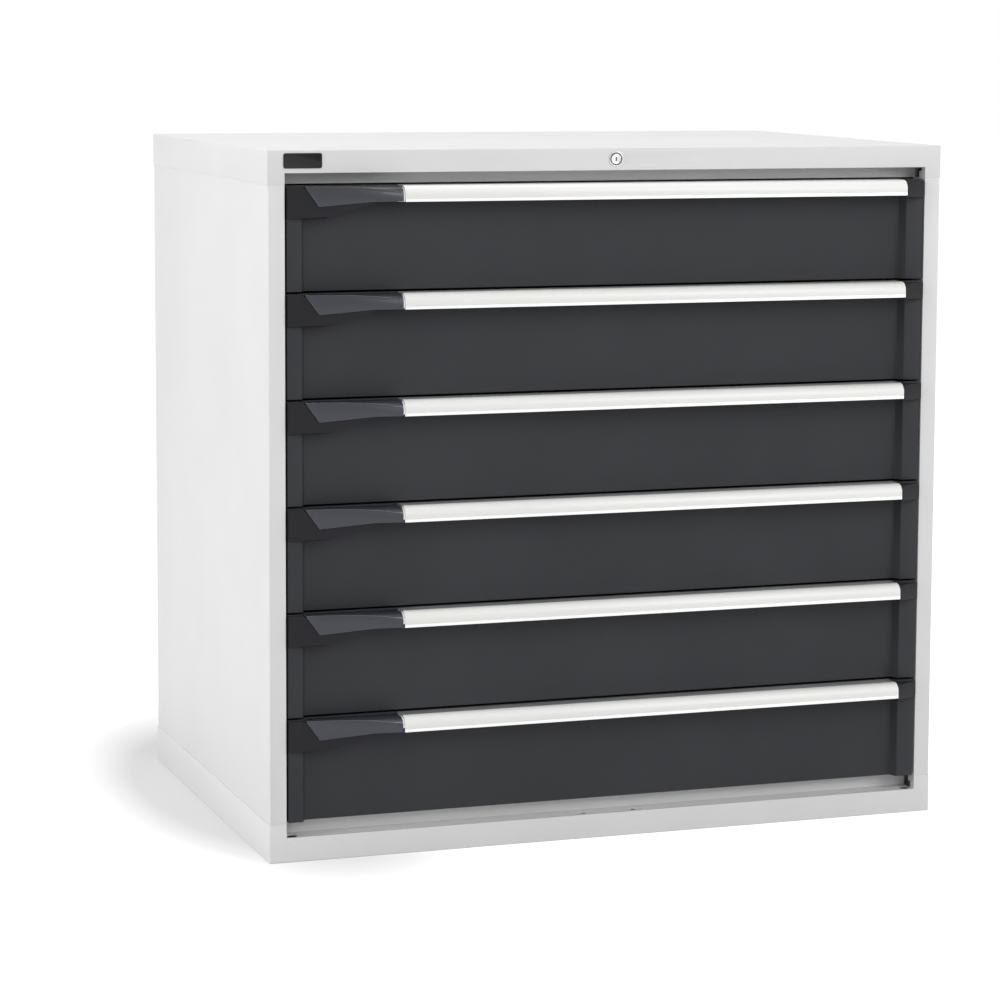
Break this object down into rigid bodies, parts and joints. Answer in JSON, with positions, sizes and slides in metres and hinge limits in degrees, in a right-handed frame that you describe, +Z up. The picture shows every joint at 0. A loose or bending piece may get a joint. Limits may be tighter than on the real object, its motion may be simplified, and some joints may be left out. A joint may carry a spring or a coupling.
{
  "type": "drawer cabinet",
  "caption": "Floor-standing steel cabinet of full-width drawers on roller runners, with pull rails, catch levers and a central lock.",
  "frame": {"origin": "on the floor, under the middle of the cabinet's overall box", "axes": "+Z up, the drawers open towards -Y, +X to the right as one faces them"},
  "size_m": [1.023, 0.725, 1],
  "materials": {
    "case_paint": "light grey powder coat",
    "box_paint": "grey powder coat",
    "front_paint": "dark grey powder coat",
    "zinc_steel": "zinc plated",
    "rail_aluminium": "anodised",
    "label": "white strip",
    "grip_plastic": "fine grain",
    "lever_plastic": "gloss",
    "plate": "bare black plate",
    "lock_metal": "satin chrome"
  },
  "bodies": {
    "root": {"side_panel_left": "case_paint", "side_panel_right": "case_paint", "back_panel": "case_paint", "top_cap": "case_paint", "base_pan": "case_paint", "slotted_posts": "zinc_steel", "cabinet_runners": "zinc_steel", "badge_plate": "plate", "lock_body": "lock_metal"},
    "lock_barrel": {"lock_barrel": "lock_metal"},
    "lock_rod": {"lock_rod": "zinc_steel"},
    "lock_bar": {"lock_bar": "zinc_steel"},
    "drawer_1": {"drawer_1_box": "box_paint", "drawer_1_front": "front_paint", "drawer_1_handle_rail": "rail_aluminium", "drawer_1_label_strip": "label", "drawer_1_end_cap": "grip_plastic", "drawer_1_catch_housing": "grip_plastic"},
    "catch_1": {"drawer_1_catch_lever": "lever_plastic"},
    "carriage_1": {"drawer_1_carriages": "zinc_steel"},
    "drawer_2": {"drawer_2_box": "box_paint", "drawer_2_front": "front_paint", "drawer_2_handle_rail": "rail_aluminium", "drawer_2_label_strip": "label", "drawer_2_end_cap": "grip_plastic", "drawer_2_catch_housing": "grip_plastic"},
    "catch_2": {"drawer_2_catch_lever": "lever_plastic"},
    "carriage_2": {"drawer_2_carriages": "zinc_steel"},
    "drawer_3": {"drawer_3_box": "box_paint", "drawer_3_front": "front_paint", "drawer_3_handle_rail": "rail_aluminium", "drawer_3_label_strip": "label", "drawer_3_end_cap": "grip_plastic", "drawer_3_catch_housing": "grip_plastic"},
    "catch_3": {"drawer_3_catch_lever": "lever_plastic"},
    "carriage_3": {"drawer_3_carriages": "zinc_steel"},
    "drawer_4": {"drawer_4_box": "box_paint", "drawer_4_front": "front_paint", "drawer_4_handle_rail": "rail_aluminium", "drawer_4_label_strip": "label", "drawer_4_end_cap": "grip_plastic", "drawer_4_catch_housing": "grip_plastic"},
    "catch_4": {"drawer_4_catch_lever": "lever_plastic"},
    "carriage_4": {"drawer_4_carriages": "zinc_steel"},
    "drawer_5": {"drawer_5_box": "box_paint", "drawer_5_front": "front_paint", "drawer_5_handle_rail": "rail_aluminium", "drawer_5_label_strip": "label", "drawer_5_end_cap": "grip_plastic", "drawer_5_catch_housing": "grip_plastic"},
    "catch_5": {"drawer_5_catch_lever": "lever_plastic"},
    "carriage_5": {"drawer_5_carriages": "zinc_steel"},
    "drawer_6": {"drawer_6_box": "box_paint", "drawer_6_front": "front_paint", "drawer_6_handle_rail": "rail_aluminium", "drawer_6_label_strip": "label", "drawer_6_end_cap": "grip_plastic", "drawer_6_catch_housing": "grip_plastic"},
    "catch_6": {"drawer_6_catch_lever": "lever_plastic"},
    "carriage_6": {"drawer_6_carriages": "zinc_steel"}
  },
  "joints": [
    {"name": "lock_barrel_turn", "type": "hinge", "parent": "root", "child": "lock_barrel", "pos_m": [0, -0.3375, 0.984], "axis": [0, -1, 0], "range_deg": [0, 90]},
    {"name": "lock_rod_slide", "type": "slide", "parent": "root", "child": "lock_rod", "axis": [1, 0, 0], "range_m": [0, 0.009]},
    {"name": "lock_bar_slide", "type": "slide", "parent": "root", "child": "lock_bar", "axis": [0, 0, 1], "range_m": [0, 0.009]},
    {"name": "drawer_1_slide", "type": "slide", "parent": "root", "child": "drawer_1", "axis": [0, -1, 0], "range_m": [0, 0.6]},
    {"name": "carriage_1_slide", "type": "slide", "parent": "root", "child": "carriage_1", "axis": [0, -1, 0], "range_m": [0, 0.3]},
    {"name": "catch_1_hinge", "type": "hinge", "parent": "drawer_1", "child": "catch_1", "pos_m": [-0.4035, -0.3325, 0.9473], "axis": [-1, 0, 0], "range_deg": [0, 18], "stiffness_Nm_per_rad": 0.1, "springref_deg": -17.19},
    {"name": "drawer_2_slide", "type": "slide", "parent": "root", "child": "drawer_2", "axis": [0, -1, 0], "range_m": [0, 0.6]},
    {"name": "carriage_2_slide", "type": "slide", "parent": "root", "child": "carriage_2", "axis": [0, -1, 0], "range_m": [0, 0.3]},
    {"name": "catch_2_hinge", "type": "hinge", "parent": "drawer_2", "child": "catch_2", "pos_m": [-0.4035, -0.3325, 0.7978], "axis": [-1, 0, 0], "range_deg": [0, 18], "stiffness_Nm_per_rad": 0.1, "springref_deg": -17.19},
    {"name": "drawer_3_slide", "type": "slide", "parent": "root", "child": "drawer_3", "axis": [0, -1, 0], "range_m": [0, 0.6]},
    {"name": "carriage_3_slide", "type": "slide", "parent": "root", "child": "carriage_3", "axis": [0, -1, 0], "range_m": [0, 0.3]},
    {"name": "catch_3_hinge", "type": "hinge", "parent": "drawer_3", "child": "catch_3", "pos_m": [-0.4035, -0.3325, 0.6483], "axis": [-1, 0, 0], "range_deg": [0, 18], "stiffness_Nm_per_rad": 0.1, "springref_deg": -17.19},
    {"name": "drawer_4_slide", "type": "slide", "parent": "root", "child": "drawer_4", "axis": [0, -1, 0], "range_m": [0, 0.6]},
    {"name": "carriage_4_slide", "type": "slide", "parent": "root", "child": "carriage_4", "axis": [0, -1, 0], "range_m": [0, 0.3]},
    {"name": "catch_4_hinge", "type": "hinge", "parent": "drawer_4", "child": "catch_4", "pos_m": [-0.4035, -0.3325, 0.4988], "axis": [-1, 0, 0], "range_deg": [0, 18], "stiffness_Nm_per_rad": 0.1, "springref_deg": -17.19},
    {"name": "drawer_5_slide", "type": "slide", "parent": "root", "child": "drawer_5", "axis": [0, -1, 0], "range_m": [0, 0.6]},
    {"name": "carriage_5_slide", "type": "slide", "parent": "root", "child": "carriage_5", "axis": [0, -1, 0], "range_m": [0, 0.3]},
    {"name": "catch_5_hinge", "type": "hinge", "parent": "drawer_5", "child": "catch_5", "pos_m": [-0.4035, -0.3325, 0.3493], "axis": [-1, 0, 0], "range_deg": [0, 18], "stiffness_Nm_per_rad": 0.1, "springref_deg": -17.19},
    {"name": "drawer_6_slide", "type": "slide", "parent": "root", "child": "drawer_6", "axis": [0, -1, 0], "range_m": [0, 0.6]},
    {"name": "carriage_6_slide", "type": "slide", "parent": "root", "child": "carriage_6", "axis": [0, -1, 0], "range_m": [0, 0.3]},
    {"name": "catch_6_hinge", "type": "hinge", "parent": "drawer_6", "child": "catch_6", "pos_m": [-0.4035, -0.3325, 0.1998], "axis": [-1, 0, 0], "range_deg": [0, 18], "stiffness_Nm_per_rad": 0.1, "springref_deg": -17.19}
  ],
  "couplings": [
    {"joint": "lock_rod_slide", "follows": "lock_bar_slide", "ratio": 1},
    {"joint": "lock_barrel_turn", "follows": "lock_bar_slide", "rad_per_m": 174.53},
    {"joint": "carriage_1_slide", "follows": "drawer_1_slide", "ratio": 0.5},
    {"joint": "carriage_2_slide", "follows": "drawer_2_slide", "ratio": 0.5},
    {"joint": "carriage_3_slide", "follows": "drawer_3_slide", "ratio": 0.5},
    {"joint": "carriage_4_slide", "follows": "drawer_4_slide", "ratio": 0.5},
    {"joint": "carriage_5_slide", "follows": "drawer_5_slide", "ratio": 0.5},
    {"joint": "carriage_6_slide", "follows": "drawer_6_slide", "ratio": 0.5}
  ]
}
